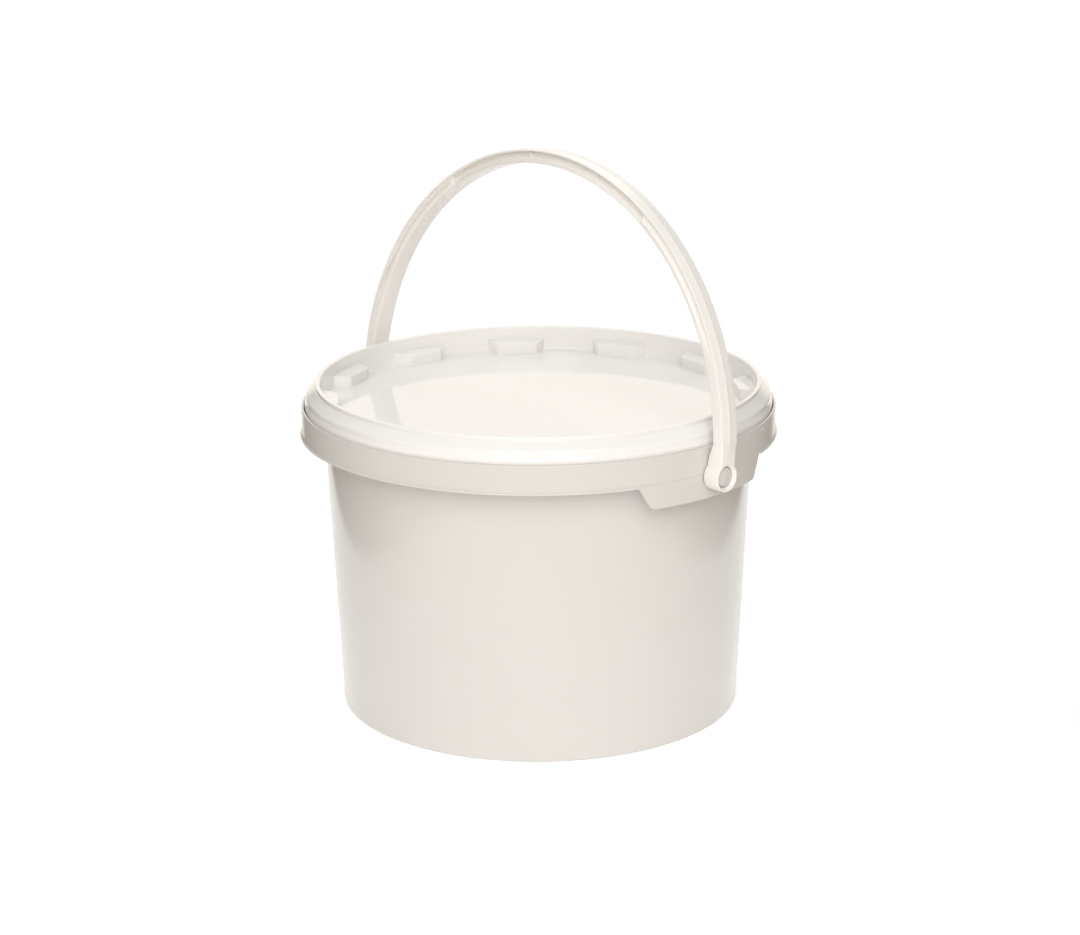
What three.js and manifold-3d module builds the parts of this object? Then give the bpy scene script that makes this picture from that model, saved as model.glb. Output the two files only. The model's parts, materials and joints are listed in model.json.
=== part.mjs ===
// Round plastic pail with a press-on lid and a bail handle, in millimetres, +Z up.
// The origin is the middle of the foot, and X is the axis that the handle turns on.
import * as THREE from "three";
import { mergeVertices } from "three/addons/utils/BufferGeometryUtils.js";
import Module from "manifold-3d";

const wasm = await Module();
wasm.setup();

// Pail wall and floor
const BASE_RADIUS = 83.4;
const WALL_DRAFT = THREE.MathUtils.degToRad(2.74);
const WALL = 1.3;
const FLOOR = 1.6;
const FOOT_HEIGHT = 1.6;
const FOOT_WIDTH = 2.4;
const FOOT_ROUNDING = 1.0;
const FLOOR_FILLET = 4;

// Collar, a ring outside the mouth that a web carries
const COLLAR_BOTTOM = 116.1;
const COLLAR_HEIGHT = 11.9;
const COLLAR_WALL = 1.1;
const WEB_ABOVE_COLLAR_BOTTOM = 3.5;
const WEB = 1.6;
const BEAD_HEIGHT = 1.1;
const BEAD_REACH = 0.7;

// Mouth above the web
const MOUTH_STEP = 4.3;
const MOUTH_HEIGHT = 13;
const RIM_BEAD_REACH = 1;
const RIM_BEAD_HEIGHT = 2.6;
const RIM_BEAD_BELOW_TOP = 1.6;

// Tabs that carry the pivot pins
const TAB_DROP = 9.35;
const TAB_BOTTOM_WIDTH = 58.6;
const TAB_TOP_WIDTH = 69.4;
const TAB_CORNER = 2;
const TAB_INSET = 0.2;

// Pivot pins
const PIVOT_ABOVE_COLLAR_BOTTOM = 0.05;
const PIN_RADIUS = 3.3;
const PIN_HEAD_RADIUS = 3.9;
const PIN_HEAD_LENGTH = 1.9;
const PIN_DOME = 0.7;
const PIN_BELOW_FACE = 0.7;

// Lid
const LID_CLEARANCE = 0.3;
const LID_WALL = 1.3;
const LID_PANEL = 1.4;
const LID_RECESS = 10.5;
const LID_RECESS_DRAFT = THREE.MathUtils.degToRad(2.4);
const LID_PANEL_FILLET = 1.6;
const LIP_WIDTH = 1.9;
const LIP_HEIGHT = 1.6;
const SHOULDER_DROP = 3.3;
const SHOULDER_BAND = 1.8;
const SKIRT_FLARE = 0.6;
const SKIRT_FLARE_HEIGHT = 1.6;
const SKIRT_ABOVE_WEB = 2.4;
const SNAP_BEAD_HEIGHT = 2.2;

// Stacking lugs on the panel
const LUGS = 12;
const LUG_PHASE = THREE.MathUtils.degToRad(22.3);
const LUG_DEPTH = 7.1;
const LUG_INNER_LENGTH = 17;
const LUG_OUTER_LENGTH = 28.3;
const LUG_HEIGHT = 4.5;
const LUG_SLOPE = 0.8;
const LUG_CORNER = 1.4;

// Handle, in its own plane, with its height measured from the pivot
const REST_LEAN = THREE.MathUtils.degToRad(4.4);
const HANDLE_CLEARANCE = 0.4;
const HANDLE_WIDTH = 8.8;
const HANDLE_SIDE_GAP = 3.2;
const LEG_DEPTH = 5.3;
const CROWN_DEPTH = 5.9;
const CROWN_HEIGHT = 116;
const ARCH_CENTRE = 5;
const EDGE_ROUNDING = 0.6;
const LEG_END = 13.5;
const NECK_STEP = 0.7;
const NECK_FLARE_END = 7;
const EYELET_RADIUS = 5.75;
const EYELET_EDGE = 0.5;
const BORE_CLEARANCE = 0.3;
const COUNTERSINK_RADIUS = 5.1;
const COUNTERSINK_DEPTH = 1.3;
const GRIP_HALF_LENGTH = 56.2;
const STRAP = 1.1;
const GROOVE_RADIUS = 4.4;
const GRIP_GROOVE_DEPTH = 3.4;
const LEG_GROOVE_DEPTH = 1;
const LEG_GROOVE_END = 52;

// Faces around a full turn, and along a small fillet
const TURN_SEGMENTS = 60;
const FILLET_SEGMENTS = 1;
const ARCH_SEGMENTS = 40;
const PIN_SEGMENTS = 20;
const GROOVE_SEGMENTS = 5;

// Heights and radii that follow from them
const bodyRadius = (z) => BASE_RADIUS + z * Math.tan(WALL_DRAFT);
const webBottom = COLLAR_BOTTOM + WEB_ABOVE_COLLAR_BOTTOM;
const webTop = webBottom + WEB;
const collarTop = COLLAR_BOTTOM + COLLAR_HEIGHT;
const mouthOuter = bodyRadius(webBottom) + MOUTH_STEP;
const mouthInner = mouthOuter - WALL;
const rimTop = webTop + MOUTH_HEIGHT;
const rimBeadOuter = mouthOuter + RIM_BEAD_REACH;
const snapBeadInner = rimBeadOuter + LID_CLEARANCE;
const skirtInner = snapBeadInner + 1;
const skirtOuter = skirtInner + LID_WALL;
const collarInner = skirtOuter + LID_CLEARANCE;
const collarOuter = collarInner + COLLAR_WALL;
const tabOuter = collarOuter - TAB_INSET;
const pivotHeight = COLLAR_BOTTOM + PIVOT_ABOVE_COLLAR_BOTTOM;
const channelRoof = rimTop + LID_CLEARANCE;
const recessOuter = mouthInner - LID_CLEARANCE;
const recessInner = recessOuter - LID_WALL;
const lipTop = channelRoof + LID_WALL + LIP_HEIGHT + 0.2;
const lipOuter = recessInner + LIP_WIDTH;
const panelTop = lipTop - LID_RECESS;
const panelBottom = panelTop - LID_PANEL;
const panelRadius = recessInner - LID_RECESS * Math.tan(LID_RECESS_DRAFT);
const legInner = collarOuter + HANDLE_SIDE_GAP;
const legOuter = legInner + LEG_DEPTH;
const eyeletInner = collarOuter + HANDLE_CLEARANCE;
const eyeletFace = legOuter - NECK_STEP;
const boreRadius = PIN_RADIUS + BORE_CLEARANCE;

// A closed mesh as a solid, from its positions alone.
function solidOf(geometry) {
  const bare = new THREE.BufferGeometry();
  bare.setAttribute("position", geometry.getAttribute("position"));
  bare.setIndex(geometry.getIndex());
  const merged = mergeVertices(bare, 1e-4);
  const mesh = new wasm.Mesh({
    numProp: 3,
    vertProperties: new Float32Array(merged.getAttribute("position").array),
    triVerts: new Uint32Array(merged.getIndex().array),
  });
  return new wasm.Manifold(mesh);
}

// A solid as flat-shaded geometry.
function geometryOf(solid) {
  const mesh = solid.getMesh();
  const geometry = new THREE.BufferGeometry();
  geometry.setAttribute("position", new THREE.BufferAttribute(mesh.vertProperties, 3));
  geometry.setIndex(new THREE.BufferAttribute(mesh.triVerts, 1));
  const flat = geometry.toNonIndexed();
  flat.computeVertexNormals();
  return flat;
}

// Points of an outline whose corners [across, up, rounding] are rounded where a rounding is given.
function roundedOutline(corners, closed) {
  const path = new THREE.Path();
  const at = (i) => new THREE.Vector2(...corners[(i + corners.length) % corners.length]);
  corners.forEach(([across, up, rounding = 0], i) => {
    const corner = new THREE.Vector2(across, up);
    const ends = !closed && (i === 0 || i === corners.length - 1);
    const before = at(i - 1).sub(corner);
    const after = at(i + 1).sub(corner);
    const reach = ends ? 0 : Math.min(rounding, 0.45 * before.length(), 0.45 * after.length());
    const start = corner.clone().addScaledVector(before.normalize(), reach);
    const end = corner.clone().addScaledVector(after.normalize(), reach);
    if (i === 0) path.moveTo(start.x, start.y);
    else path.lineTo(start.x, start.y);
    if (reach > 0) path.quadraticCurveTo(corner.x, corner.y, end.x, end.y);
  });
  const points = path.getPoints(FILLET_SEGMENTS);
  if (closed) points.push(points[0].clone());
  return points;
}

// A solid of revolution about Z: the profile runs anticlockwise, as [radius, height, rounding].
function turned(profile, closed = false, segments = TURN_SEGMENTS) {
  const points = roundedOutline(profile, closed);
  return solidOf(new THREE.LatheGeometry(points, segments).rotateX(Math.PI / 2));
}

// A solid of revolution about X, for what sits on the pivot axis at +X.
function turnedAboutPivot(profile) {
  const points = roundedOutline(profile, false);
  const geometry = new THREE.LatheGeometry(points, PIN_SEGMENTS).rotateZ(-Math.PI / 2);
  return solidOf(geometry);
}

// A prism of an outline drawn in Y and Z, that runs along X between two places.
function prismAlongX(corners, from, to) {
  const shape = new THREE.Shape(roundedOutline(corners, true));
  const geometry = new THREE.ExtrudeGeometry(shape, { depth: to - from, bevelEnabled: false });
  geometry.applyMatrix4(new THREE.Matrix4().makeBasis(
    new THREE.Vector3(0, 1, 0),
    new THREE.Vector3(0, 0, 1),
    new THREE.Vector3(1, 0, 0),
  ));
  return solidOf(geometry.translate(from, 0, 0));
}

// The same solid turned half round Z, for the opposite side.
const opposite = (solid) => solid.rotate([0, 0, 180]);

// Pail: wall, floor, collar and mouth in one profile
function pailShell() {
  const floorTop = FOOT_HEIGHT + FLOOR;
  const beadOuter = collarOuter + BEAD_REACH;
  const rimBeadTop = rimTop - RIM_BEAD_BELOW_TOP;
  const rimBeadBottom = rimBeadTop - RIM_BEAD_HEIGHT;
  return turned([
    [0, FOOT_HEIGHT],
    [BASE_RADIUS - FOOT_WIDTH - FOOT_ROUNDING, FOOT_HEIGHT, FOOT_ROUNDING],
    [BASE_RADIUS - FOOT_WIDTH, 0],
    [BASE_RADIUS, 0, FOOT_ROUNDING],
    [bodyRadius(webBottom), webBottom, 1.2],
    [collarInner, webBottom, 1],
    [collarInner, COLLAR_BOTTOM],
    [beadOuter, COLLAR_BOTTOM, 0.35],
    [beadOuter, COLLAR_BOTTOM + 0.5 * BEAD_HEIGHT, 0.2],
    [collarOuter, COLLAR_BOTTOM + BEAD_HEIGHT],
    [collarOuter, collarTop, 0.45],
    [collarInner, collarTop, 0.35],
    [collarInner, webTop, 1],
    [mouthOuter, webTop, 1],
    [mouthOuter, rimBeadBottom, 0.6],
    [rimBeadOuter, rimBeadBottom + 0.3 * RIM_BEAD_HEIGHT, 0.6],
    [rimBeadOuter, rimBeadTop, 0.7],
    [mouthOuter, rimTop, 0.6],
    [mouthInner, rimTop, 0.5],
    [mouthInner, webTop, 1],
    [bodyRadius(webTop) - WALL, webTop, 1],
    [bodyRadius(floorTop) - WALL, floorTop, FLOOR_FILLET],
    [0, floorTop],
  ]);
}

// Tab that hangs from the collar at +X, level with its face, with slanted ends
function tab() {
  const bottom = COLLAR_BOTTOM - TAB_DROP;
  const top = COLLAR_BOTTOM + BEAD_HEIGHT;
  const ring = turned([
    [collarInner, bottom],
    [tabOuter, bottom, 0.3],
    [tabOuter, top],
    [collarInner, top],
  ], true);
  const outline = prismAlongX([
    [-TAB_BOTTOM_WIDTH / 2, bottom - 1e-3, TAB_CORNER],
    [TAB_BOTTOM_WIDTH / 2, bottom - 1e-3, TAB_CORNER],
    [TAB_TOP_WIDTH / 2, COLLAR_BOTTOM],
    [TAB_TOP_WIDTH / 2, top + 1],
    [-TAB_TOP_WIDTH / 2, top + 1],
    [-TAB_TOP_WIDTH / 2, COLLAR_BOTTOM],
  ], collarInner / 2, collarOuter + 5);
  return ring.intersect(outline);
}

// The stretch of the bead that the tab at +X takes the place of
function beadGap() {
  const ring = turned([
    [tabOuter, COLLAR_BOTTOM - 1],
    [collarOuter + BEAD_REACH + 1, COLLAR_BOTTOM - 1],
    [collarOuter + BEAD_REACH + 1, COLLAR_BOTTOM + BEAD_HEIGHT],
    [tabOuter, COLLAR_BOTTOM + BEAD_HEIGHT],
  ], true);
  const outline = prismAlongX([
    [-TAB_TOP_WIDTH / 2, COLLAR_BOTTOM - 2],
    [TAB_TOP_WIDTH / 2, COLLAR_BOTTOM - 2],
    [TAB_TOP_WIDTH / 2, COLLAR_BOTTOM + 2 * BEAD_HEIGHT],
    [-TAB_TOP_WIDTH / 2, COLLAR_BOTTOM + 2 * BEAD_HEIGHT],
  ], collarInner / 2, collarOuter + 5);
  return ring.intersect(outline);
}

// Pivot pin at +X, whose head is wider than the eyelet's bore and sits below its face
function pivotPin() {
  const root = collarInner + COLLAR_WALL / 3;
  const headEnd = eyeletFace - PIN_BELOW_FACE;
  const headStart = headEnd - PIN_HEAD_LENGTH;
  return turnedAboutPivot([
    [0, root],
    [PIN_RADIUS, root],
    [PIN_RADIUS, headStart],
    [PIN_HEAD_RADIUS, headStart, 0.2],
    [PIN_HEAD_RADIUS, headEnd - PIN_DOME, 0.6],
    [PIN_HEAD_RADIUS / 2, headEnd - PIN_DOME / 5, 0.9],
    [0, headEnd],
  ]).translate([0, 0, pivotHeight]);
}

function bucket() {
  const sides = (solid) => solid.add(opposite(solid));
  return pailShell().subtract(sides(beadGap())).add(sides(tab())).add(sides(pivotPin()));
}

// Lid: panel, recess wall, lip, shoulder and skirt in one profile
function lidShell() {
  const skirtBottom = webTop + SKIRT_ABOVE_WEB;
  const bandOuter = skirtOuter - SKIRT_FLARE;
  const bandInner = bandOuter - LID_WALL;
  const shoulderTop = lipTop - LIP_HEIGHT;
  const shoulderBottom = shoulderTop - SHOULDER_DROP;
  const bandBottom = shoulderBottom - SHOULDER_BAND;
  const flareBottom = bandBottom - SKIRT_FLARE_HEIGHT;
  const snapTop = flareBottom - 0.6;
  const snapBottom = snapTop - SNAP_BEAD_HEIGHT;
  return turned([
    [0, panelBottom],
    [panelRadius + LID_WALL, panelBottom, LID_PANEL_FILLET],
    [recessOuter, channelRoof, 0.3],
    [mouthOuter, channelRoof, 0.5],
    [bandInner, shoulderBottom, 0.5],
    [bandInner, bandBottom],
    [skirtInner, flareBottom],
    [skirtInner, snapTop],
    [snapBeadInner, (snapTop + snapBottom) / 2, 0.5],
    [skirtInner, snapBottom],
    [skirtInner, skirtBottom, 0.3],
    [skirtOuter, skirtBottom, 0.3],
    [skirtOuter, flareBottom, 0.5],
    [bandOuter, bandBottom, 0.3],
    [bandOuter, shoulderBottom, 0.6],
    [lipOuter + 0.3, shoulderTop, 0.6],
    [lipOuter, shoulderTop],
    [lipOuter, lipTop, 0.5],
    [recessInner, lipTop, 0.5],
    [panelRadius, panelTop, LID_PANEL_FILLET],
    [0, panelTop],
  ]);
}

// Stacking lugs: blocks on the panel along the recess wall, narrower towards the middle
function stackingLugs() {
  const wall = (panelRadius + recessInner) / 2;
  const inner = wall - LUG_DEPTH;
  const outer = wall + LID_WALL / 4;
  const base = panelTop - LID_PANEL / 2;
  const ring = turned([
    [inner - LUG_DEPTH, base],
    [outer, base],
    [outer, panelTop + LUG_HEIGHT + LUG_SLOPE],
    [inner - LUG_DEPTH, panelTop + LUG_HEIGHT - LUG_SLOPE],
  ], true);
  const plan = roundedOutline([
    [inner, -LUG_INNER_LENGTH / 2, LUG_CORNER],
    [outer + LID_WALL, -LUG_OUTER_LENGTH / 2],
    [outer + LID_WALL, LUG_OUTER_LENGTH / 2],
    [inner, LUG_INNER_LENGTH / 2, LUG_CORNER],
  ], true);
  const depth = LUG_HEIGHT + LUG_SLOPE + LID_PANEL;
  const block = new THREE.ExtrudeGeometry(new THREE.Shape(plan), { depth, bevelEnabled: false });
  const blockSolid = solidOf(block.translate(0, 0, base - 1e-3));
  const lug = ring.intersect(blockSolid);
  const degrees = (i) => THREE.MathUtils.radToDeg(LUG_PHASE) + (360 * i) / LUGS;
  return Array.from({ length: LUGS }, (_, i) => lug.rotate([0, 0, degrees(i)]));
}

function lid() {
  return stackingLugs().reduce((whole, lug) => whole.add(lug), lidShell());
}

// Arch of the handle: a flat band between two half ellipses, with its edges rounded
function handleArch() {
  const outerRise = CROWN_HEIGHT - ARCH_CENTRE;
  const innerRise = outerRise - CROWN_DEPTH;
  const outerStart = Math.asin((LEG_END - ARCH_CENTRE) / outerRise);
  const innerStart = Math.asin((LEG_END - ARCH_CENTRE) / innerRise);
  const path = new THREE.Path();
  path.absellipse(0, ARCH_CENTRE, legOuter, outerRise, outerStart, Math.PI - outerStart, false);
  path.absellipse(0, ARCH_CENTRE, legInner, innerRise, Math.PI - innerStart, innerStart, true);
  const shape = new THREE.Shape(path.getPoints(ARCH_SEGMENTS));
  const geometry = new THREE.ExtrudeGeometry(shape, {
    depth: HANDLE_WIDTH - 2 * EDGE_ROUNDING,
    bevelThickness: EDGE_ROUNDING,
    bevelSize: EDGE_ROUNDING,
    bevelOffset: -EDGE_ROUNDING,
    bevelSegments: 1,
  });
  geometry.rotateX(Math.PI / 2);
  return solidOf(geometry.translate(0, HANDLE_WIDTH / 2 - EDGE_ROUNDING, 0));
}

// Neck at +X, from the leg's end down to the eyelet, which it meets over its whole length
function neck() {
  const legEndInner = legInner * Math.sqrt(
    1 - ((LEG_END + 1 - ARCH_CENTRE) / (CROWN_HEIGHT - ARCH_CENTRE - CROWN_DEPTH)) ** 2,
  );
  const shape = new THREE.Shape(roundedOutline([
    [eyeletInner, 0],
    [eyeletFace, 0],
    [eyeletFace, LEG_END + 1],
    [legEndInner, LEG_END + 1],
    [legEndInner, LEG_END],
    [eyeletInner, NECK_FLARE_END, 3],
  ], true));
  const width = HANDLE_WIDTH - EDGE_ROUNDING;
  const geometry = new THREE.ExtrudeGeometry(shape, { depth: width, bevelEnabled: false });
  geometry.rotateX(Math.PI / 2);
  return solidOf(geometry.translate(0, width / 2, 0));
}

// Eyelet at +X, and what its hole takes away
function eyelet() {
  return turnedAboutPivot([
    [0, eyeletInner],
    [EYELET_RADIUS, eyeletInner, EYELET_EDGE / 2],
    [EYELET_RADIUS, eyeletFace, EYELET_EDGE],
    [0, eyeletFace],
  ]);
}

function eyeletHole() {
  const headRoom = PIN_HEAD_RADIUS + BORE_CLEARANCE;
  const seat = eyeletFace - PIN_BELOW_FACE - PIN_HEAD_LENGTH - BORE_CLEARANCE;
  return turnedAboutPivot([
    [0, eyeletInner - 1],
    [boreRadius, eyeletInner - 1],
    [boreRadius, seat],
    [headRoom, seat],
    [headRoom, eyeletFace - COUNTERSINK_DEPTH],
    [COUNTERSINK_RADIUS, eyeletFace],
    [COUNTERSINK_RADIUS, eyeletFace + 1],
    [0, eyeletFace + 1],
  ]);
}

// Grooves that run along both flanks, under the outer strap, and cut to a given depth
function grooves(depth) {
  const rise = CROWN_HEIGHT - ARCH_CENTRE;
  const across = HANDLE_WIDTH / 2 - depth + GROOVE_RADIUS;
  const path = new THREE.Path();
  path.absarc(legOuter - STRAP, across, GROOVE_RADIUS, -Math.PI / 2, Math.PI / 2, true);
  const profile = path.getPoints(GROOVE_SEGMENTS).reverse();
  profile.push(profile[0].clone());
  const ring = new THREE.LatheGeometry(profile, 2 * ARCH_SEGMENTS);
  ring.scale(1, 1, rise / legOuter);
  const groove = solidOf(ring.translate(0, 0, ARCH_CENTRE));
  return groove.add(groove.mirror([0, 1, 0]));
}

// What lies above a height and within a distance to either side of the middle
function stretch(halfLength, from) {
  const box = new THREE.BoxGeometry(2 * halfLength, 8 * HANDLE_WIDTH, 2 * CROWN_HEIGHT);
  return solidOf(box.translate(0, 0, from + CROWN_HEIGHT));
}

// Deep grooves along the grip, with upright ends, and shallow ones on down the legs
function flankGrooves() {
  const grip = grooves(GRIP_GROOVE_DEPTH).intersect(stretch(GRIP_HALF_LENGTH, 0));
  const legs = grooves(LEG_GROOVE_DEPTH).intersect(stretch(2 * legOuter, LEG_GROOVE_END));
  return grip.add(legs);
}

function handle() {
  const end = neck().add(eyelet());
  const hole = eyeletHole();
  return handleArch()
    .subtract(flankGrooves())
    .add(end)
    .add(opposite(end))
    .subtract(hole)
    .subtract(opposite(hole));
}

// Scene graph
function part(name, solid, colour, roughness) {
  const material = new THREE.MeshStandardMaterial({ color: colour, roughness, metalness: 0 });
  const mesh = new THREE.Mesh(geometryOf(solid), material);
  mesh.name = name;
  return mesh;
}

const pail = new THREE.Group();
pail.add(part("bucket", bucket(), 0xebe7e1, 0.3));
pail.add(part("lid", lid(), 0xf5f1ec, 0.2));

const handleMesh = part("handle", handle(), 0xf1ede7, 0.35);
handleMesh.position.z = pivotHeight;
handleMesh.rotation.x = -REST_LEAN;
pail.add(handleMesh);

export default pail;
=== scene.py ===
import json
import math

import bpy
from mathutils import Matrix, Vector


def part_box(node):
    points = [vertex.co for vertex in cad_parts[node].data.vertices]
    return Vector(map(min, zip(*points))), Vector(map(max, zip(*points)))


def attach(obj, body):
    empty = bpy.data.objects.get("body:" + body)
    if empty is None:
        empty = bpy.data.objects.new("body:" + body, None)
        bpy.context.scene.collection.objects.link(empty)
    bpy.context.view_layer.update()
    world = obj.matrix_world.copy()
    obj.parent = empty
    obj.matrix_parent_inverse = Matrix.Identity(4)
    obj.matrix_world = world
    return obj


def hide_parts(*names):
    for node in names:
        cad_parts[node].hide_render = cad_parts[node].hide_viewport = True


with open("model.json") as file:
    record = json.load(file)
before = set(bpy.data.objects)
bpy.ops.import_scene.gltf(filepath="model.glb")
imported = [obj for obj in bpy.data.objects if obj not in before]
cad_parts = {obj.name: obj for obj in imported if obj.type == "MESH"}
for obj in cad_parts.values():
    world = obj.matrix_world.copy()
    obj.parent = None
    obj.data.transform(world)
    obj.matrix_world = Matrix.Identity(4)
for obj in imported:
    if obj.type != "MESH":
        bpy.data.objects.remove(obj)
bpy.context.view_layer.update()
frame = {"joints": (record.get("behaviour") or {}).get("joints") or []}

MM = 0.001

# Faces around a full turn, along a fillet, the arch and a groove, and where an edge stays sharp
TURN_STEPS = 240
PIN_STEPS = 96
FILLET_STEPS = 4
ARCH_STEPS = 220
GROOVE_STEPS = 14
BEVEL_SEGMENTS = 3
BEVEL_ANGLE = math.radians(50)
SHARP_ANGLE = math.radians(32)

# The longest rounding as a share of a side, what counts as on the axis, a step too small to see,
# and how far a cutting solid runs past what it cuts
ROUNDING_LIMIT = 0.45
ON_AXIS = 1e-9
HAIR = 1e-6
OVERRUN = 1 * MM

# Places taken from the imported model
pail_low, pail_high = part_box("bucket")
lid_low, lid_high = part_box("lid")
hinge = next(joint for joint in frame["joints"] if joint["type"] == "hinge")
PIVOT = Vector(hinge["pos_m"])
RIM_TOP = pail_high.z
BEAD_OUTER = pail_high.y
PIN_END = pail_high.x
LIP_TOP = lid_high.z
SKIRT_OUTER = lid_high.x
SKIRT_BOTTOM = lid_low.z

# Pail wall, floor and foot
BASE_RADIUS = 83.4 * MM
WALL_DRAFT = math.radians(2.74)
WALL = 1.3 * MM
FOOT_HEIGHT = 1.6 * MM
FOOT_WIDTH = 2.4 * MM
FOOT_ROUNDING = 1.0 * MM
FLOOR = 1.6 * MM
FLOOR_FILLET = 4 * MM

# Collar, web and mouth
CLEARANCE = 0.3 * MM
BEAD_REACH = 0.7 * MM
BEAD_HEIGHT = 1.1 * MM
COLLAR_WALL = 1.1 * MM
COLLAR_OUTER = BEAD_OUTER - BEAD_REACH
COLLAR_INNER = COLLAR_OUTER - COLLAR_WALL
COLLAR_BOTTOM = PIVOT.z - 0.05 * MM
COLLAR_TOP = COLLAR_BOTTOM + 11.9 * MM
WEB = 1.6 * MM
WEB_BOTTOM = COLLAR_BOTTOM + 3.5 * MM
WEB_TOP = WEB_BOTTOM + WEB
RIM_BEAD_REACH = 1 * MM
RIM_BEAD_HEIGHT = 2.6 * MM
RIM_BEAD_TOP = RIM_TOP - 1.6 * MM
MOUTH_STEP = 4.3 * MM

# Roundings of the pail's profile
WALL_ROUNDING = 1.2 * MM
WEB_ROUNDING = 1 * MM
COLLAR_FOOT_EDGE = 0.15 * MM
BEAD_ROUNDING = 0.35 * MM
BEAD_EDGE = 0.2 * MM
COLLAR_OUTER_EDGE = 0.5 * MM
COLLAR_INNER_EDGE = 0.4 * MM
RIM_ROUNDING = 0.6 * MM
RIM_BEAD_ROUNDING = 0.7 * MM
RIM_INNER_EDGE = 0.5 * MM

# Tabs and pivot pins
TAB_DROP = 9.35 * MM
TAB_BOTTOM_WIDTH = 58.6 * MM
TAB_TOP_WIDTH = 69.4 * MM
TAB_CORNER = 2 * MM
TAB_INSET = 0.2 * MM
TAB_EDGE = 0.3 * MM
PIN_RADIUS = 3.3 * MM
PIN_HEAD_RADIUS = 3.9 * MM
PIN_HEAD_LENGTH = 1.9 * MM
PIN_DOME = 0.7 * MM
PIN_HEAD_EDGE = 0.2 * MM
PIN_HEAD_ROUNDING = 0.6 * MM
PIN_DOME_ROUNDING = 0.9 * MM

# Moulding mark on the collar
MARK_ANGLE = math.radians(22.9)
MARK_RADIUS = 1.2 * MM
MARK_SLIMNESS = 0.4
MARK_HEIGHT = 0.35 * MM
MARK_DROP = 2.5 * MM

# Lid
LID_WALL = 1.3 * MM
LID_PANEL = 1.4 * MM
LID_RECESS = 10.5 * MM
RECESS_DRAFT = math.radians(2.4)
PANEL_FILLET = 1.6 * MM
LIP_WIDTH = 1.9 * MM
LIP_HEIGHT = 1.6 * MM
SHOULDER_DROP = 3.3 * MM
SHOULDER_BAND = 1.8 * MM
SKIRT_FLARE = 0.6 * MM
SKIRT_FLARE_HEIGHT = 1.6 * MM
SNAP_BEAD_HEIGHT = 2.2 * MM
SNAP_BEAD_DROP = 0.6 * MM
GATE_RADIUS = 1.1 * MM
GATE_HEIGHT = 0.15 * MM

# Roundings of the lid's profile
CHANNEL_EDGE = 0.3 * MM
CHANNEL_ROUNDING = 0.5 * MM
SKIRT_EDGE = 0.3 * MM
FLARE_ROUNDING = 0.5 * MM
SHOULDER_ROUNDING = 0.6 * MM
LIP_FOOT = 0.3 * MM
LIP_FOOT_EDGE = 0.1 * MM
LIP_ROUNDING = 0.5 * MM

# Stacking lugs
LUGS = 12
LUG_PHASE = math.radians(22.3)
LUG_DEPTH = 7.1 * MM
LUG_INNER_LENGTH = 17 * MM
LUG_OUTER_LENGTH = 28.3 * MM
LUG_HEIGHT = 4.5 * MM
LUG_SLOPE = 0.8 * MM
LUG_CORNER = 1.4 * MM
LUG_EDGE = 0.4 * MM

# Handle, in its own plane, with its height measured from the pivot
REST_LEAN = math.radians(4.4)
HANDLE_WIDTH = 8.8 * MM
LEG_OUTER = 106.91 * MM
LEG_DEPTH = 5.3 * MM
CROWN_HEIGHT = 116 * MM
CROWN_DEPTH = 5.9 * MM
ARCH_CENTRE = 5 * MM
LEG_END = 13.5 * MM
OUTER_CROWN = 0.4 * MM
PARTING_RIDGE = 0.06 * MM
PARTING_WIDTH = 0.22 * MM
STRAP = 1.1 * MM
STRAP_EDGE = 0.22 * MM
STRAP_LEDGE = 0.1 * MM
INNER_EDGE = 0.45 * MM
INNER_CROWN = 0.06 * MM
INNER_CROWN_SIDE = 0.04 * MM
GROOVE_RADIUS = 4.4 * MM
GRIP_GROOVE_DEPTH = 3.4 * MM
GRIP_HALF_LENGTH = 56.2 * MM
LEG_GROOVE_DEPTH = 1 * MM
LEG_GROOVE_FADE = (45 * MM, 66 * MM)
LEG_STEP = 42 * MM
LEG_STEP_INSET = 0.1 * MM
LEG_STEP_ANGLE = math.radians(0.12)
NECK_WIDTH = 8.3 * MM
NECK_EDGE = 0.6 * MM
NECK_STEP = 0.7 * MM
NECK_FLARE_END = 7 * MM
NECK_FLARE_ROUNDING = 3 * MM
EYELET_INNER = COLLAR_OUTER + 0.4 * MM
EYELET_FACE = LEG_OUTER - NECK_STEP
EYELET_RADIUS = 5.75 * MM
EYELET_EDGE = 0.35 * MM
COUNTERSINK_RADIUS = 5.2 * MM
COUNTERSINK_DEPTH = 1.3 * MM
COUNTERSINK_EDGE = 0.2 * MM
HEAD_ROOM_EDGE = 0.3 * MM
NUB_ANGLE = math.radians(95.6)
NUB_RADIUS = 1.3 * MM
NUB_HEIGHT = 1.1 * MM
NUB_ROUNDING = 0.3 * MM
NUB_START = 0.1 * MM

# Plastic: colour flow and fine skin
PLASTIC_IOR = 1.49
SCATTER_TINT = (1.0, 0.85, 0.7)
FLOW_SCALE = 14
FLOW_DETAIL = 3
FLOW_ROUGHNESS = 0.55
FLOW_RANGE = (0.3, 0.7)
GLOSS_RANGE = (0.85, 1.15)
SKIN_SCALE = 900
SKIN_DETAIL = 2
SKIN_RELIEF = 0.02 * MM

# Camera, as it stood for the photograph
VIEW_ANGLE = math.radians(44)
VIEW_DISTANCE = 1145.88 * MM
VIEW_HEIGHT = 433.75 * MM
VIEW_OFFSET = 0.44 * MM
VIEW_PITCH = 0.28455
VIEW_ROLL = 0.006457
LENS = 95.0
SENSOR = 36.0

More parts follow.
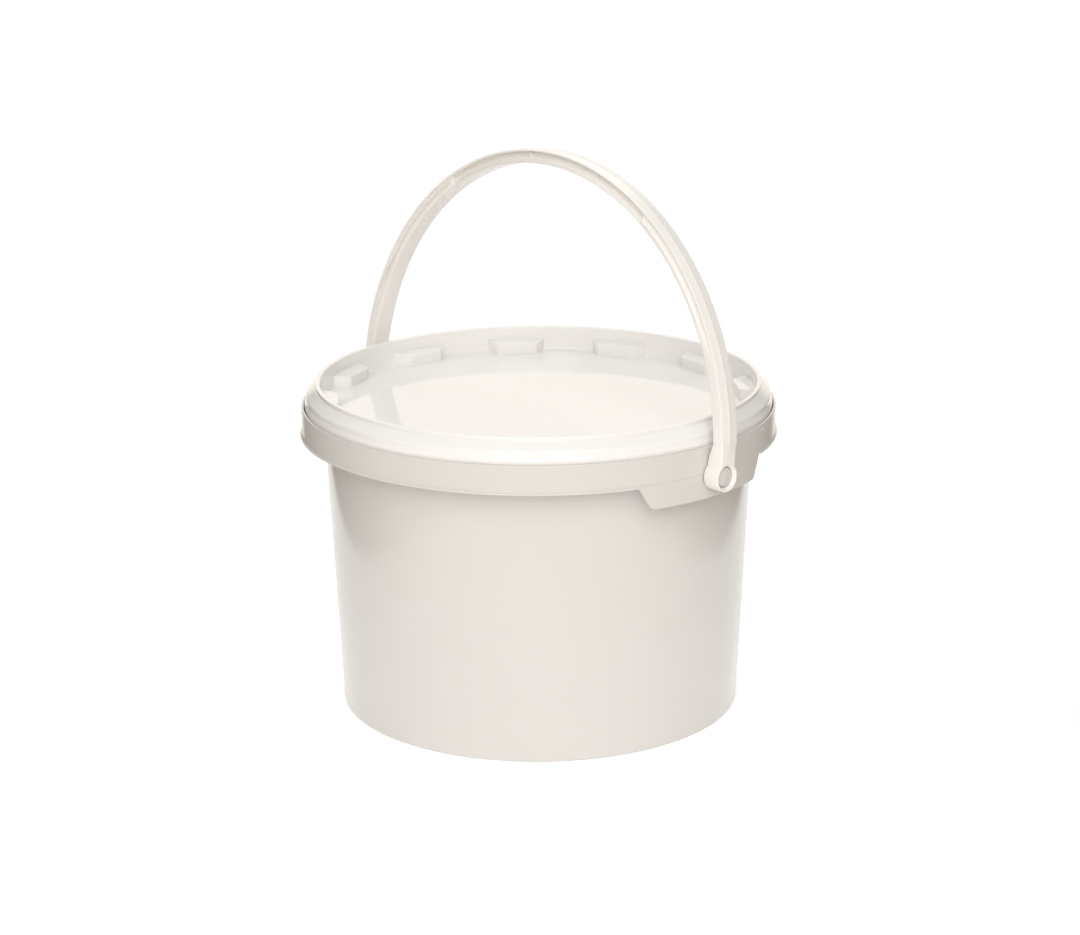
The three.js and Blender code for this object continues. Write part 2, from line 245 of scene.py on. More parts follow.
# The room: brightness around the horizon, by angle from the camera's side, and overhead
STUDIO_STRENGTH = 1.0
STUDIO_TURN = math.radians(2)
STUDIO_RING = (
    (math.radians(180), 1.25),
    (math.radians(160), 1.25),
    (math.radians(153), 0.16),
    (math.radians(100), 0.16),
    (math.radians(74), 0.72),
    (math.radians(0), 0.72),
)
STUDIO_WARMTH = (0.92, 0.8)
CEILING = 0.62
CEILING_START = math.radians(22)
CEILING_FULL = math.radians(50)
FLOOR_HALF_WIDTH = 0.22
FLOOR_BEFORE = 0.7
FLOOR_BEHIND = 0.5
FLOOR_BELOW = 0.2 * MM
FLOOR_WHITE = 0.95
FLOOR_ROUGHNESS = 0.9
FLOOR_SHEEN = 0.2
FLOOR_GLOW = 0.27
LIGHT_TARGET = Vector((0, 0, 0.1))
SOFTBOX_REACH = 1.05
SOFTBOX_HEIGHT = 0.85
SOFTBOX_SIZE = (1.0, 0.8)
SOFTBOX_POWER = 8.2
REAR_REACH = 0.9
REAR_HEIGHT = 1.1
REAR_POWER = 4


def body_radius(z):
    return BASE_RADIUS + z * math.tan(WALL_DRAFT)


MOUTH_OUTER = body_radius(WEB_BOTTOM) + MOUTH_STEP
MOUTH_INNER = MOUTH_OUTER - WALL
RIM_BEAD_OUTER = MOUTH_OUTER + RIM_BEAD_REACH
SKIRT_INNER = SKIRT_OUTER - LID_WALL
CHANNEL_ROOF = RIM_TOP + CLEARANCE
RECESS_OUTER = MOUTH_INNER - CLEARANCE
RECESS_INNER = RECESS_OUTER - LID_WALL
LIP_OUTER = RECESS_INNER + LIP_WIDTH
PANEL_TOP = LIP_TOP - LID_RECESS
PANEL_BOTTOM = PANEL_TOP - LID_PANEL
PANEL_RADIUS = RECESS_INNER - LID_RECESS * math.tan(RECESS_DRAFT)


# Mesh building

def rounded(corners, closed=False):
    """Points along corners (across, up, rounding), each rounded where it has a rounding."""
    points = []
    count = len(corners)
    for i, corner in enumerate(corners):
        here = Vector(corner[:2])
        rounding = corner[2] if len(corner) > 2 else 0
        if not rounding or (not closed and i in (0, count - 1)):
            points.append(here)
            continue
        before = Vector(corners[i - 1][:2]) - here
        after = Vector(corners[(i + 1) % count][:2]) - here
        reach = min(rounding, ROUNDING_LIMIT * before.length, ROUNDING_LIMIT * after.length)
        start = here + before.normalized() * reach
        end = here + after.normalized() * reach
        for step in range(FILLET_STEPS + 1):
            t = step / FILLET_STEPS
            points.append(start * (1 - t) ** 2 + here * 2 * t * (1 - t) + end * t ** 2)
    return points


def mesh_object(name, vertices, faces):
    mesh = bpy.data.meshes.new(name)
    mesh.from_pydata([tuple(v) for v in vertices], [], faces)
    mesh.update()
    piece = bpy.data.objects.new(name, mesh)
    bpy.context.scene.collection.objects.link(piece)
    return piece


def turned(name, corners, closed=False, steps=TURN_STEPS):
    """A solid of revolution about Z, from an anticlockwise profile of (radius, height, rounding)."""
    profile = rounded(corners, closed)
    vertices = []
    rings = []
    for point in profile:
        if abs(point.x) < ON_AXIS:
            rings.append([len(vertices)] * steps)
            vertices.append((0, 0, point.y))
            continue
        rings.append(list(range(len(vertices), len(vertices) + steps)))
        for i in range(steps):
            angle = 2 * math.pi * i / steps
            vertices.append((point.x * math.cos(angle), point.x * math.sin(angle), point.y))
    pairs = list(zip(rings, rings[1:]))
    if closed:
        pairs.append((rings[-1], rings[0]))
    faces = []
    for low, high in pairs:
        for i in range(steps):
            j = (i + 1) % steps
            face = [low[i], low[j], high[j], high[i]]
            face = [v for k, v in enumerate(face) if v != face[k - 1]]
            if len(face) > 2:
                faces.append(face)
    return mesh_object(name, vertices, faces)


def prism(name, outline, axis, start, end):
    """A flat outline drawn across a row axis, run along that axis from start to end."""
    places = {
        "X": lambda p, along: (along, p.x, p.y),
        "Y": lambda p, along: (p.x, along, p.y),
        "Z": lambda p, along: (p.x, p.y, along),
    }
    count = len(outline)
    vertices = [places[axis](p, along) for along in (start, end) for p in outline]
    faces = [list(range(count))[::-1], list(range(count, 2 * count))]
    for i in range(count):
        j = (i + 1) % count
        faces.append([i, j, j + count, i + count])
    piece = mesh_object(name, vertices, faces)
    if axis == "Y":
        piece.data.flip_normals()
    return piece


def apply_modifiers(piece):
    depsgraph = bpy.context.evaluated_depsgraph_get()
    mesh = bpy.data.meshes.new_from_object(piece.evaluated_get(depsgraph))
    old = piece.data
    piece.modifiers.clear()
    piece.data = mesh
    bpy.data.meshes.remove(old)
    return piece


def combine(piece, tool, operation):
    """Joins a closed solid to another, or cuts by it, and uses it up."""
    modifier = piece.modifiers.new("combine", "BOOLEAN")
    modifier.operation = operation
    modifier.solver = "MANIFOLD"
    modifier.object = tool
    apply_modifiers(piece)
    bpy.data.objects.remove(tool)
    return piece


def bevelled(piece, width):
    modifier = piece.modifiers.new("bevel", "BEVEL")
    modifier.width = width
    modifier.segments = BEVEL_SEGMENTS
    modifier.limit_method = "ANGLE"
    modifier.angle_limit = BEVEL_ANGLE
    return apply_modifiers(piece)


def copy_turned(piece, angle, name):
    """The same solid again, turned about Z."""
    other = piece.copy()
    other.data = piece.data.copy()
    other.name = name
    other.data.transform(Matrix.Rotation(angle, 4, "Z"))
    bpy.context.scene.collection.objects.link(other)
    return other


def both_sides(piece):
    return [piece, copy_turned(piece, math.pi, piece.name + "_opposite")]


def about_pivot(name, corners):
    """A solid of revolution about the pivot axis at +X, from (radius, place along X, rounding)."""
    piece = turned(name, corners, steps=PIN_STEPS)
    piece.data.transform(Matrix.Rotation(math.pi / 2, 4, "Y"))
    return piece


def even_shading(piece):
    """Lets large flat faces set the shading at their edges."""
    modifier = piece.modifiers.new("even_shading", "WEIGHTED_NORMAL")
    modifier.keep_sharp = True
    return apply_modifiers(piece)


def shade(piece):
    piece.data.shade_smooth()
    piece.data.set_sharp_from_angle(angle=SHARP_ANGLE)


# Pail

def pail_shell():
    floor_top = FOOT_HEIGHT + FLOOR
    bead_bottom = RIM_BEAD_TOP - RIM_BEAD_HEIGHT
    return turned("pail", [
        (0, FOOT_HEIGHT),
        (BASE_RADIUS - FOOT_WIDTH - FOOT_ROUNDING, FOOT_HEIGHT, FOOT_ROUNDING),
        (BASE_RADIUS - FOOT_WIDTH, 0),
        (BASE_RADIUS, 0, FOOT_ROUNDING),
        (body_radius(WEB_BOTTOM), WEB_BOTTOM, WALL_ROUNDING),
        (COLLAR_INNER, WEB_BOTTOM, WEB_ROUNDING),
        (COLLAR_INNER, COLLAR_BOTTOM, COLLAR_FOOT_EDGE),
        (BEAD_OUTER, COLLAR_BOTTOM, BEAD_ROUNDING),
        (BEAD_OUTER, COLLAR_BOTTOM + 0.5 * BEAD_HEIGHT, BEAD_EDGE),
        (COLLAR_OUTER, COLLAR_BOTTOM + BEAD_HEIGHT, BEAD_EDGE),
        (COLLAR_OUTER, COLLAR_TOP, COLLAR_OUTER_EDGE),
        (COLLAR_INNER, COLLAR_TOP, COLLAR_INNER_EDGE),
        (COLLAR_INNER, WEB_TOP, WEB_ROUNDING),
        (MOUTH_OUTER, WEB_TOP, WEB_ROUNDING),
        (MOUTH_OUTER, bead_bottom, RIM_ROUNDING),
        (RIM_BEAD_OUTER, bead_bottom + 0.3 * RIM_BEAD_HEIGHT, RIM_ROUNDING),
        (RIM_BEAD_OUTER, RIM_BEAD_TOP, RIM_BEAD_ROUNDING),
        (MOUTH_OUTER, RIM_TOP, RIM_ROUNDING),
        (MOUTH_INNER, RIM_TOP, RIM_INNER_EDGE),
        (MOUTH_INNER, WEB_TOP, WEB_ROUNDING),
        (body_radius(WEB_TOP) - WALL, WEB_TOP, WEB_ROUNDING),
        (body_radius(floor_top) - WALL, floor_top, FLOOR_FILLET),
        (0, floor_top),
    ])


def tab():
    """Tab that hangs from the collar at +X, with slanted ends and rounded corners."""
    bottom = COLLAR_BOTTOM - TAB_DROP
    top = COLLAR_BOTTOM + BEAD_HEIGHT
    outer = COLLAR_OUTER - TAB_INSET
    ring = turned("tab", [
        (COLLAR_INNER, bottom),
        (outer, bottom, TAB_EDGE),
        (outer, top),
        (COLLAR_INNER, top),
    ], closed=True)
    outline = rounded([
        (-TAB_BOTTOM_WIDTH / 2, bottom - HAIR, TAB_CORNER),
        (TAB_BOTTOM_WIDTH / 2, bottom - HAIR, TAB_CORNER),
        (TAB_TOP_WIDTH / 2, COLLAR_BOTTOM),
        (TAB_TOP_WIDTH / 2, top + OVERRUN),
        (-TAB_TOP_WIDTH / 2, top + OVERRUN),
        (-TAB_TOP_WIDTH / 2, COLLAR_BOTTOM),
    ], closed=True)
    window = prism("tab_window", outline, "X", COLLAR_INNER / 2, COLLAR_OUTER + 5 * OVERRUN)
    return combine(ring, window, "INTERSECT")


def bead_gap():
    """The stretch of the collar's bead that the tab at +X takes the place of."""
    top = COLLAR_BOTTOM + BEAD_HEIGHT
    outer = COLLAR_OUTER - TAB_INSET
    ring = turned("bead_gap", [
        (outer, COLLAR_BOTTOM - OVERRUN),
        (BEAD_OUTER + OVERRUN, COLLAR_BOTTOM - OVERRUN),
        (BEAD_OUTER + OVERRUN, top),
        (outer, top),
    ], closed=True)
    half = TAB_TOP_WIDTH / 2
    low = COLLAR_BOTTOM - 2 * OVERRUN
    high = top + OVERRUN
    outline = rounded([(-half, low), (half, low), (half, high), (-half, high)], closed=True)
    window = prism("bead_window", outline, "X", COLLAR_INNER / 2, COLLAR_OUTER + 5 * OVERRUN)
    return combine(ring, window, "INTERSECT")


def pivot_pin():
    head_start = PIN_END - PIN_HEAD_LENGTH
    pin = about_pivot("pivot_pin", [
        (0, COLLAR_INNER + COLLAR_WALL / 3),
        (PIN_RADIUS, COLLAR_INNER + COLLAR_WALL / 3),
        (PIN_RADIUS, head_start),
        (PIN_HEAD_RADIUS, head_start, PIN_HEAD_EDGE),
        (PIN_HEAD_RADIUS, PIN_END - PIN_DOME, PIN_HEAD_ROUNDING),
        (PIN_HEAD_RADIUS / 2, PIN_END - PIN_DOME / 5, PIN_DOME_ROUNDING),
        (0, PIN_END),
    ])
    pin.data.transform(Matrix.Translation((0, 0, PIVOT.z)))
    return pin


def collar_mark():
    """A small raised moulding mark on the collar."""
    mark = about_pivot("collar_mark", [
        (0, COLLAR_OUTER - COLLAR_WALL / 3),
        (MARK_RADIUS, COLLAR_OUTER - COLLAR_WALL / 3),
        (MARK_RADIUS, COLLAR_OUTER + MARK_HEIGHT, MARK_HEIGHT),
        (0, COLLAR_OUTER + MARK_HEIGHT),
    ])
    mark.data.transform(Matrix.Diagonal((1, 1, MARK_SLIMNESS, 1)))
    mark.data.transform(Matrix.Translation((0, 0, COLLAR_TOP - MARK_DROP)))
    mark.data.transform(Matrix.Rotation(MARK_ANGLE, 4, "Z"))
    return mark


def make_pail():
    pail = pail_shell()
    for cut in both_sides(bead_gap()):
        combine(pail, cut, "DIFFERENCE")
    for piece in both_sides(tab()) + both_sides(pivot_pin()) + [collar_mark()]:
        combine(pail, piece, "UNION")
    return pail


# Lid

def lid_shell():
    band_outer = SKIRT_OUTER - SKIRT_FLARE
    band_inner = band_outer - LID_WALL
    shoulder_top = LIP_TOP - LIP_HEIGHT
    shoulder_bottom = shoulder_top - SHOULDER_DROP
    band_bottom = shoulder_bottom - SHOULDER_BAND
    flare_bottom = band_bottom - SKIRT_FLARE_HEIGHT
    snap_top = flare_bottom - SNAP_BEAD_DROP
    snap_bottom = snap_top - SNAP_BEAD_HEIGHT
    return turned("pail_lid", [
        (0, PANEL_BOTTOM),
        (PANEL_RADIUS + LID_WALL, PANEL_BOTTOM, PANEL_FILLET),
        (RECESS_OUTER, CHANNEL_ROOF, CHANNEL_EDGE),
        (MOUTH_OUTER, CHANNEL_ROOF, CHANNEL_ROUNDING),
        (band_inner, shoulder_bottom, CHANNEL_ROUNDING),
        (band_inner, band_bottom),
        (SKIRT_INNER, flare_bottom),
        (SKIRT_INNER, snap_top),
        (RIM_BEAD_OUTER + CLEARANCE, (snap_top + snap_bottom) / 2, CHANNEL_ROUNDING),
        (SKIRT_INNER, snap_bottom),
        (SKIRT_INNER, SKIRT_BOTTOM, SKIRT_EDGE),
        (SKIRT_OUTER, SKIRT_BOTTOM, SKIRT_EDGE),
        (SKIRT_OUTER, flare_bottom, FLARE_ROUNDING),
        (band_outer, band_bottom, SKIRT_EDGE),
        (band_outer, shoulder_bottom, SHOULDER_ROUNDING),
        (LIP_OUTER + LIP_FOOT, shoulder_top, SHOULDER_ROUNDING),
        (LIP_OUTER, shoulder_top, LIP_FOOT_EDGE),
        (LIP_OUTER, LIP_TOP, LIP_ROUNDING),
        (RECESS_INNER, LIP_TOP, LIP_ROUNDING),
        (PANEL_RADIUS, PANEL_TOP, PANEL_FILLET),
        (0, PANEL_TOP),
    ])


def stacking_lug():
    """One lug at +X: a block on the panel along the recess wall, narrower towards the middle."""
    wall = (PANEL_RADIUS + RECESS_INNER) / 2
    inner = wall - LUG_DEPTH
    outer = wall + LID_WALL / 4
    base = PANEL_TOP - LID_PANEL / 2
    top = PANEL_TOP + LUG_HEIGHT
    ring = turned("lug", [
        (inner - LUG_DEPTH, base),
        (outer, base),
        (outer, top + LUG_SLOPE),
        (inner - LUG_DEPTH, top - LUG_SLOPE),
    ], closed=True)
    plan = rounded([
        (inner, -LUG_INNER_LENGTH / 2, LUG_CORNER),
        (outer + LID_WALL, -LUG_OUTER_LENGTH / 2),
        (outer + LID_WALL, LUG_OUTER_LENGTH / 2),
        (inner, LUG_INNER_LENGTH / 2, LUG_CORNER),
    ], closed=True)
    block = prism("lug_block", plan, "Z", base - HAIR, top + 2 * LUG_SLOPE)
    return bevelled(combine(ring, block, "INTERSECT"), LUG_EDGE)


def make_lid():
    lid = lid_shell()
    first = stacking_lug()
    for i in range(LUGS):
        lug = copy_turned(first, LUG_PHASE + 2 * math.pi * i / LUGS, f"lug_{i}")
        combine(lid, lug, "UNION")
    bpy.data.objects.remove(first)
    gate = turned("gate_mark", [
        (0, PANEL_TOP - GATE_HEIGHT),
        (GATE_RADIUS, PANEL_TOP - GATE_HEIGHT),
        (GATE_RADIUS, PANEL_TOP + GATE_HEIGHT, GATE_HEIGHT),
        (GATE_RADIUS / 2, PANEL_TOP + GATE_HEIGHT),
        (0, PANEL_TOP + GATE_HEIGHT / 2),
    ], steps=PIN_STEPS)
    return combine(lid, gate, "UNION")


# Handle

def smooth_step(value, low, high):
    t = min(max((value - low) / (high - low), 0), 1)
    return t * t * (3 - 2 * t)


def arch_section(depth, groove, inset):
    """Half of the strap's section, from the outer middle to the inner middle, as (across, down)."""
    half = HANDLE_WIDTH / 2 - inset
    points = [
        (0, 0),
        (PARTING_WIDTH / 2, PARTING_RIDGE / 2),
        (PARTING_WIDTH, PARTING_RIDGE),
        (half / 2, OUTER_CROWN * 0.5),
        (half - 2 * STRAP_EDGE, OUTER_CROWN * 0.9),
    ]
    for step in range(FILLET_STEPS + 1):
        angle = math.pi / 2 * step / FILLET_STEPS
        across = half - STRAP_EDGE * (1 - math.sin(angle))
        points.append((across, OUTER_CROWN + STRAP_EDGE * (1 - math.cos(angle))))
    points.append((half - min(groove, STRAP_LEDGE), STRAP))
    sweep = math.acos(1 - groove / GROOVE_RADIUS)
    for step in range(GROOVE_STEPS + 1):
        angle = sweep * step / GROOVE_STEPS
        across = half - groove + GROOVE_RADIUS * (1 - math.cos(angle))
        points.append((across, STRAP + GROOVE_RADIUS * math.sin(angle) + HAIR * step))
    for step in range(FILLET_STEPS + 1):
        angle = math.pi / 2 * step / FILLET_STEPS
        across = half - INNER_EDGE * (1 - math.cos(angle))
        points.append((across, depth - INNER_EDGE * (1 - math.sin(angle))))
    points.append((half / 2, depth + INNER_CROWN_SIDE))
    points.append((0, depth + INNER_CROWN))
    return points


def inward_depth(x, v, normal):
    """How far along the inward normal the arch's inner ellipse lies from a point outside it."""
    across = LEG_OUTER - LEG_DEPTH
    rise = CROWN_HEIGHT - ARCH_CENTRE - CROWN_DEPTH
    a = (normal.x / across) ** 2 + (normal.y / rise) ** 2
    b = -2 * (x * normal.x / across ** 2 + v * normal.y / rise ** 2)
    c = (x / across) ** 2 + (v / rise) ** 2 - 1
    return (-b - math.sqrt(b * b - 4 * a * c)) / (2 * a)


def arch():
    """The strap from one leg's end over the crown to the other's, with the leg grooves."""
    rise = CROWN_HEIGHT - ARCH_CENTRE
    start = math.asin((LEG_END - ARCH_CENTRE) / rise)
    step_angle = math.asin((LEG_STEP - ARCH_CENTRE) / rise)
    vertices = []
    angles = [start + (math.pi - 2 * start) * i / ARCH_STEPS for i in range(ARCH_STEPS + 1)]
    for edge in (step_angle, step_angle + LEG_STEP_ANGLE):
        angles += [edge, math.pi - edge]
    angles.sort()
    last = len(angles) - 1
    for angle in angles:
        x = LEG_OUTER * math.cos(angle)
        v = rise * math.sin(angle)
        normal = Vector((math.cos(angle) / LEG_OUTER, math.sin(angle) / rise)).normalized()
        groove = LEG_GROOVE_DEPTH * smooth_step(v + ARCH_CENTRE, *LEG_GROOVE_FADE)
        above = min(max((min(angle, math.pi - angle) - step_angle) / LEG_STEP_ANGLE, 0), 1)
        half = arch_section(inward_depth(x, v, normal), groove, LEG_STEP_INSET * above)
        ring = half + [(-across, down) for across, down in half[-2:0:-1]]
        count = len(ring)
        for across, down in ring:
            place = Vector((x, v)) - normal * down
            vertices.append((place.x, across, place.y + ARCH_CENTRE))
    faces = [list(range(count))[::-1], list(range(count * last, count * (last + 1)))]
    for i in range(last):
        for j in range(count):
            k = (j + 1) % count
            low = i * count
            high = low + count
            faces.append([low + j, low + k, high + k, high + j])
    return mesh_object("bail", vertices, faces)


def grip_groove(side):
    """What the deep groove takes from one flank of the grip, between its upright ends."""
    rise = CROWN_HEIGHT - ARCH_CENTRE
    across = HANDLE_WIDTH / 2 - GRIP_GROOVE_DEPTH + GROOVE_RADIUS
    centre = LEG_OUTER - STRAP
    profile = []
    for step in range(3 * GROOVE_STEPS + 1):
        angle = math.pi / 2 + math.pi * step / (3 * GROOVE_STEPS)
        profile.append((
            centre + GROOVE_RADIUS * math.cos(angle),
            across + GROOVE_RADIUS * math.sin(angle),
        ))
    groove = turned("grip_groove", profile, closed=True)
    turn = Matrix.Rotation(-side * math.pi / 2, 4, "X")
    stretch = Matrix.Diagonal((1, 1, rise / LEG_OUTER, 1))
    groove.data.transform(Matrix.Translation((0, 0, ARCH_CENTRE)) @ stretch @ turn)
    half = GRIP_HALF_LENGTH
    top = 2 * CROWN_HEIGHT
    outline = rounded([(-half, 0), (half, 0), (half, top), (-half, top)], closed=True)
    window = prism("grip_window", outline, "Y", -4 * HANDLE_WIDTH, 4 * HANDLE_WIDTH)
    return combine(groove, window, "INTERSECT")


def neck():
    """The stretch at +X from the leg's end down to the eyelet."""
    top = LEG_END + OVERRUN
    leg_inner = LEG_OUTER - LEG_DEPTH
    rise = CROWN_HEIGHT - ARCH_CENTRE - CROWN_DEPTH
    top_inner = leg_inner * math.sqrt(1 - ((top - ARCH_CENTRE) / rise) ** 2)
    outline = rounded([
        (EYELET_INNER, 0),
        (EYELET_FACE, 0),
        (EYELET_FACE, top),
        (top_inner, top),
        (top_inner, LEG_END),
        (EYELET_INNER, NECK_FLARE_END, NECK_FLARE_ROUNDING),
    ], closed=True)
    piece = prism("neck", outline, "Y", -NECK_WIDTH / 2, NECK_WIDTH / 2)
    return bevelled(piece, NECK_EDGE)


def eyelet():
    return about_pivot("eyelet", [
        (0, EYELET_INNER),
        (EYELET_RADIUS, EYELET_INNER, EYELET_EDGE),
        (EYELET_RADIUS, EYELET_FACE, EYELET_EDGE),
        (0, EYELET_FACE),
    ])


def eyelet_hole():
    bore = PIN_RADIUS + CLEARANCE
    head_room = PIN_HEAD_RADIUS + CLEARANCE
    seat = PIN_END - PIN_HEAD_LENGTH - CLEARANCE
    return about_pivot("eyelet_hole", [
        (0, EYELET_INNER - OVERRUN),
        (bore, EYELET_INNER - OVERRUN),
        (bore, seat),
        (head_room, seat),
        (head_room, EYELET_FACE - COUNTERSINK_DEPTH, HEAD_ROOM_EDGE),
        (COUNTERSINK_RADIUS, EYELET_FACE, COUNTERSINK_EDGE),
        (COUNTERSINK_RADIUS, EYELET_FACE + OVERRUN),
        (0, EYELET_FACE + OVERRUN),
    ])


def gate_nub():
    """The stub that the moulding's gate leaves in the front groove."""
    nub = turned("gate_nub", [
        (0, 0),
        (NUB_RADIUS, 0),
        (NUB_RADIUS, NUB_HEIGHT, NUB_ROUNDING),
        (0, NUB_HEIGHT),
    ], steps=PIN_STEPS)
    middle = CROWN_HEIGHT - ARCH_CENTRE - CROWN_DEPTH / 2
    x = LEG_OUTER * math.cos(NUB_ANGLE)
    v = middle * math.sin(NUB_ANGLE) + ARCH_CENTRE
    floor = -HANDLE_WIDTH / 2 + GRIP_GROOVE_DEPTH + NUB_START
    nub.data.transform(Matrix.Translation((x, floor, v)) @ Matrix.Rotation(math.pi / 2, 4, "X"))
    return nub


def make_handle():
    handle = arch()
    for side in (1, -1):
        combine(handle, grip_groove(side), "DIFFERENCE")
    for piece in both_sides(neck()) + both_sides(eyelet()) + [gate_nub()]:
        combine(handle, piece, "UNION")
    for hole in both_sides(eyelet_hole()):
        combine(handle, hole, "DIFFERENCE")
    handle.data.transform(Matrix.Translation(PIVOT) @ Matrix.Rotation(-REST_LEAN, 4, "X"))
    return handle


# Materials

def plastic(name, light, dark, roughness, grain, subsurface, depth):
    """Moulded plastic: faint flow marks in its colour and gloss, and a fine skin in its relief."""
    material = bpy.data.materials.new(name)
    material.use_nodes = True
    nodes = material.node_tree.nodes
    links = material.node_tree.links
    shader = nodes["Principled BSDF"]
    shader.inputs["IOR"].default_value = PLASTIC_IOR
    shader.inputs["Subsurface Weight"].default_value = subsurface
    shader.inputs["Subsurface Radius"].default_value = SCATTER_TINT
    shader.inputs["Subsurface Scale"].default_value = depth
    place = nodes.new("ShaderNodeTexCoord")

    flow = nodes.new("ShaderNodeTexNoise")
    flow.inputs["Scale"].default_value = FLOW_SCALE
    flow.inputs["Detail"].default_value = FLOW_DETAIL
    flow.inputs["Roughness"].default_value = FLOW_ROUGHNESS
    links.new(place.outputs["Object"], flow.inputs["Vector"])
    colours = nodes.new("ShaderNodeValToRGB")
    for element, place_along, colour in zip(colours.color_ramp.elements, FLOW_RANGE, (dark, light)):
        element.position = place_along
        element.color = (*colour, 1)
    links.new(flow.outputs["Fac"], colours.inputs["Fac"])
    links.new(colours.outputs["Color"], shader.inputs["Base Color"])

    gloss = nodes.new("ShaderNodeMapRange")
    gloss.inputs["To Min"].default_value = roughness * GLOSS_RANGE[0]
    gloss.inputs["To Max"].default_value = roughness * GLOSS_RANGE[1]
    links.new(flow.outputs["Fac"], gloss.inputs["Value"])
    links.new(gloss.outputs["Result"], shader.inputs["Roughness"])

    skin = nodes.new("ShaderNodeTexNoise")
    skin.inputs["Scale"].default_value = SKIN_SCALE
    skin.inputs["Detail"].default_value = SKIN_DETAIL
    links.new(place.outputs["Object"], skin.inputs["Vector"])
    relief = nodes.new("ShaderNodeBump")
    relief.inputs["Strength"].default_value = grain
    relief.inputs["Distance"].default_value = SKIN_RELIEF
    links.new(skin.outputs["Fac"], relief.inputs["Height"])
    links.new(relief.outputs["Normal"], shader.inputs["Normal"])
    return material


def dress(piece, material, body, node, evened=False):
    piece.data.materials.clear()
    piece.data.materials.append(material)
    shade(piece)
    if evened:
        even_shading(piece)
    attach(piece, body)
    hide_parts(node)


# Stage, light and camera

def view_axes():
    """The camera's right, up and forward directions, before its roll, and its level direction."""
    level = Vector((-math.cos(VIEW_ANGLE), math.sin(VIEW_ANGLE), 0))
    forward = level * math.cos(VIEW_PITCH) - Vector((0, 0, math.sin(VIEW_PITCH)))
    right = level.cross(Vector((0, 0, 1)))
    return right, right.cross(forward), forward, level


def make_floor():
    """A strip of bright white paper that runs from before the object to behind it."""
    right, _, _, level = view_axes()
    wide = right * FLOOR_HALF_WIDTH
    near = level * -FLOOR_BEFORE - Vector((0, 0, FLOOR_BELOW))
    far = level * FLOOR_BEHIND - Vector((0, 0, FLOOR_BELOW))
    corners = [near - wide, near + wide, far + wide, far - wide]
    floor = mesh_object("floor", corners, [[0, 1, 2, 3]])
    paper = bpy.data.materials.new("floor_paint")
    paper.use_nodes = True
    shader = paper.node_tree.nodes["Principled BSDF"]
    shader.inputs["Base Color"].default_value = (FLOOR_WHITE, FLOOR_WHITE, FLOOR_WHITE, 1)
    shader.inputs["Roughness"].default_value = FLOOR_ROUGHNESS
    shader.inputs["Specular IOR Level"].default_value = FLOOR_SHEEN
    shader.inputs["Emission Color"].default_value = (1, 1, 1, 1)
    shader.inputs["Emission Strength"].default_value = FLOOR_GLOW
    floor.data.materials.append(paper)


def softbox(name, reach, height, power):
    """A rectangle of light turned to the object, behind it, or before it where reach is negative."""
    data = bpy.data.lights.new(name, "AREA")
    data.shape = "RECTANGLE"
    data.size, data.size_y = SOFTBOX_SIZE
    data.energy = power
    light = bpy.data.objects.new(name, data)
    light.location = view_axes()[3] * reach + Vector((0, 0, height))
    light.rotation_euler = (LIGHT_TARGET - light.location).to_track_quat("-Z", "Y").to_euler()
    light.visible_camera = False
    bpy.context.scene.collection.objects.link(light)


def level_light(nodes, links, direction):
    """Brightness around the horizon: white behind the object, dark at its sides, grey in front."""
    flat = nodes.new("ShaderNodeVectorMath")
    flat.operation = "MULTIPLY"
    flat.inputs[1].default_value = (1, 1, 0)
    links.new(direction, flat.inputs[0])
    unit = nodes.new("ShaderNodeVectorMath")
    unit.operation = "NORMALIZE"
    links.new(flat.outputs["Vector"], unit.inputs[0])
    facing = nodes.new("ShaderNodeVectorMath")
    facing.operation = "DOT_PRODUCT"
    front = VIEW_ANGLE + STUDIO_TURN
    facing.inputs[1].default_value = (math.cos(front), -math.sin(front), 0)
    links.new(unit.outputs["Vector"], facing.inputs[0])
    share = nodes.new("ShaderNodeMapRange")
    share.inputs["From Min"].default_value = -1
    share.inputs["From Max"].default_value = 1
    links.new(facing.outputs["Value"], share.inputs["Value"])
    ramp = nodes.new("ShaderNodeValToRGB")
    elements = ramp.color_ramp.elements
    while len(elements) < len(STUDIO_RING):
        elements.new(0.5)
    for element, (angle, value) in zip(elements, STUDIO_RING):
        element.position = (math.cos(angle) + 1) / 2
        element.color = (value, value * STUDIO_WARMTH[0], value * STUDIO_WARMTH[1], 1)
    links.new(share.outputs["Result"], ramp.inputs["Fac"])
    return ramp.outputs["Color"]


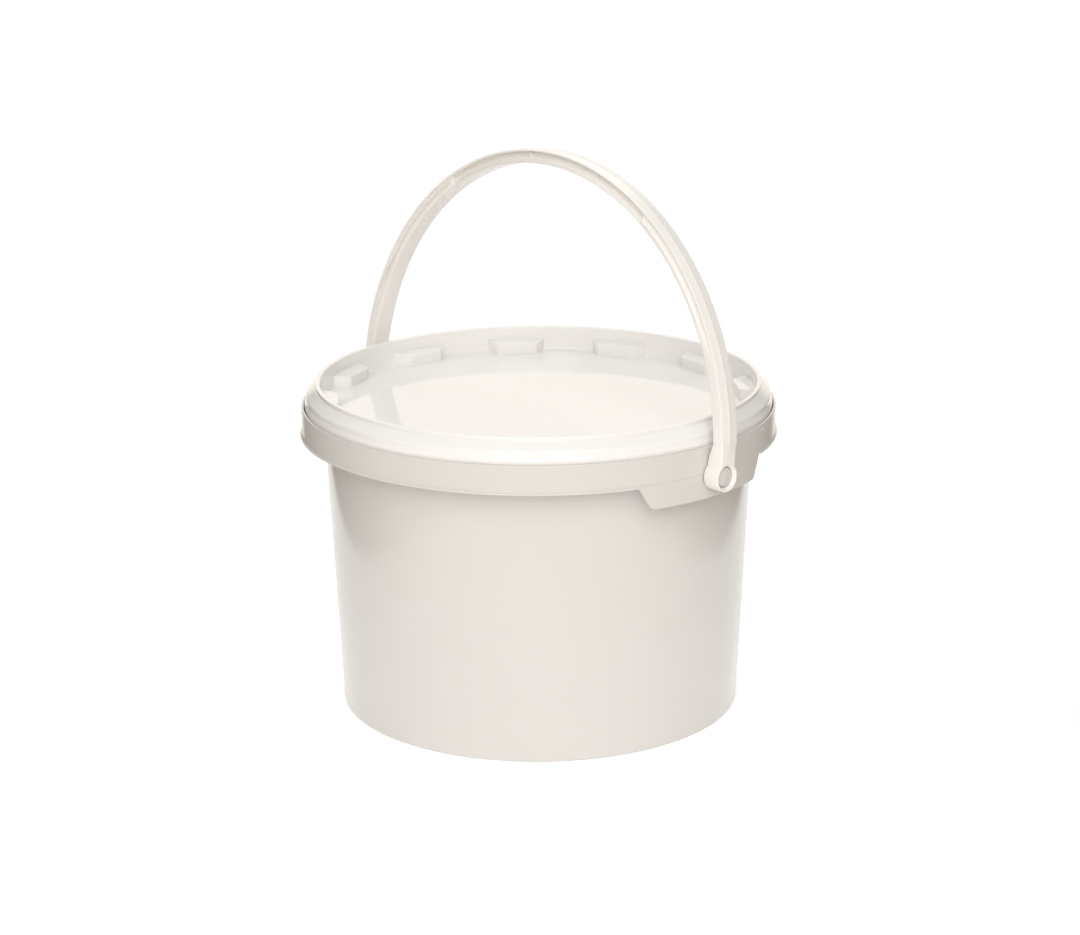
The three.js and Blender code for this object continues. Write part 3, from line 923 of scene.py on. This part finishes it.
def make_world():
    """A white room: bright overhead and behind, darker beside and before the object."""
    world = bpy.data.worlds.new("studio")
    world.use_nodes = True
    nodes = world.node_tree.nodes
    links = world.node_tree.links
    direction = nodes.new("ShaderNodeTexCoord").outputs["Generated"]
    ring = level_light(nodes, links, direction)

    height = nodes.new("ShaderNodeSeparateXYZ")
    links.new(direction, height.inputs["Vector"])
    rise = nodes.new("ShaderNodeMapRange")
    rise.interpolation_type = "SMOOTHSTEP"
    rise.inputs["From Min"].default_value = math.sin(CEILING_START)
    rise.inputs["From Max"].default_value = math.sin(CEILING_FULL)
    links.new(height.outputs["Z"], rise.inputs["Value"])
    mix = nodes.new("ShaderNodeMix")
    mix.data_type = "RGBA"
    links.new(rise.outputs["Result"], mix.inputs["Factor"])
    links.new(ring, mix.inputs["A"])
    mix.inputs["B"].default_value = (CEILING, CEILING, CEILING, 1)

    seen = nodes.new("ShaderNodeLightPath")
    plain = nodes.new("ShaderNodeMix")
    plain.data_type = "RGBA"
    links.new(seen.outputs["Is Camera Ray"], plain.inputs["Factor"])
    links.new(mix.outputs["Result"], plain.inputs["A"])
    plain.inputs["B"].default_value = (1, 1, 1, 1)
    background = nodes["Background"]
    background.inputs["Strength"].default_value = STUDIO_STRENGTH
    links.new(plain.outputs["Result"], background.inputs["Color"])
    bpy.context.scene.world = world


def make_camera():
    right, up, forward, level = view_axes()
    turned_right = right * math.cos(VIEW_ROLL) - up * math.sin(VIEW_ROLL)
    turned_up = right * math.sin(VIEW_ROLL) + up * math.cos(VIEW_ROLL)
    place = -level * VIEW_DISTANCE + right * VIEW_OFFSET + Vector((0, 0, VIEW_HEIGHT))
    data = bpy.data.cameras.new("camera")
    data.lens = LENS
    data.sensor_width = SENSOR
    camera = bpy.data.objects.new("camera", data)
    axes = Matrix((turned_right, turned_up, -forward)).transposed().to_4x4()
    camera.matrix_world = Matrix.Translation(place) @ axes
    bpy.context.scene.collection.objects.link(camera)
    bpy.context.scene.camera = camera


make_camera()
make_world()
make_floor()
softbox("softbox", -SOFTBOX_REACH, SOFTBOX_HEIGHT, SOFTBOX_POWER)
softbox("rear_softbox", REAR_REACH, REAR_HEIGHT, REAR_POWER)
bpy.context.scene.view_settings.view_transform = "Standard"

# The lid and handle are coloured paler than the pail: partly their own paler plastic, partly painted
# light for the brighter light on their front- and upward-facing surfaces.
pail_plastic = plastic(
    "pail_plastic", light=(0.665, 0.645, 0.62), dark=(0.655, 0.632, 0.607),
    roughness=0.16, grain=0.25, subsurface=0.05, depth=1 * MM)
lid_plastic = plastic(
    "lid_plastic", light=(0.86, 0.845, 0.83), dark=(0.85, 0.835, 0.82),
    roughness=0.06, grain=0.15, subsurface=0.08, depth=1.5 * MM)
handle_plastic = plastic(
    "handle_plastic", light=(0.86, 0.84, 0.813), dark=(0.85, 0.83, 0.803),
    roughness=0.3, grain=0.4, subsurface=0.08, depth=1.5 * MM)

dress(make_pail(), pail_plastic, "pail", "bucket")
dress(make_lid(), lid_plastic, "lid", "lid", evened=True)
dress(make_handle(), handle_plastic, "handle", "handle")

bpy.context.view_layer.update()
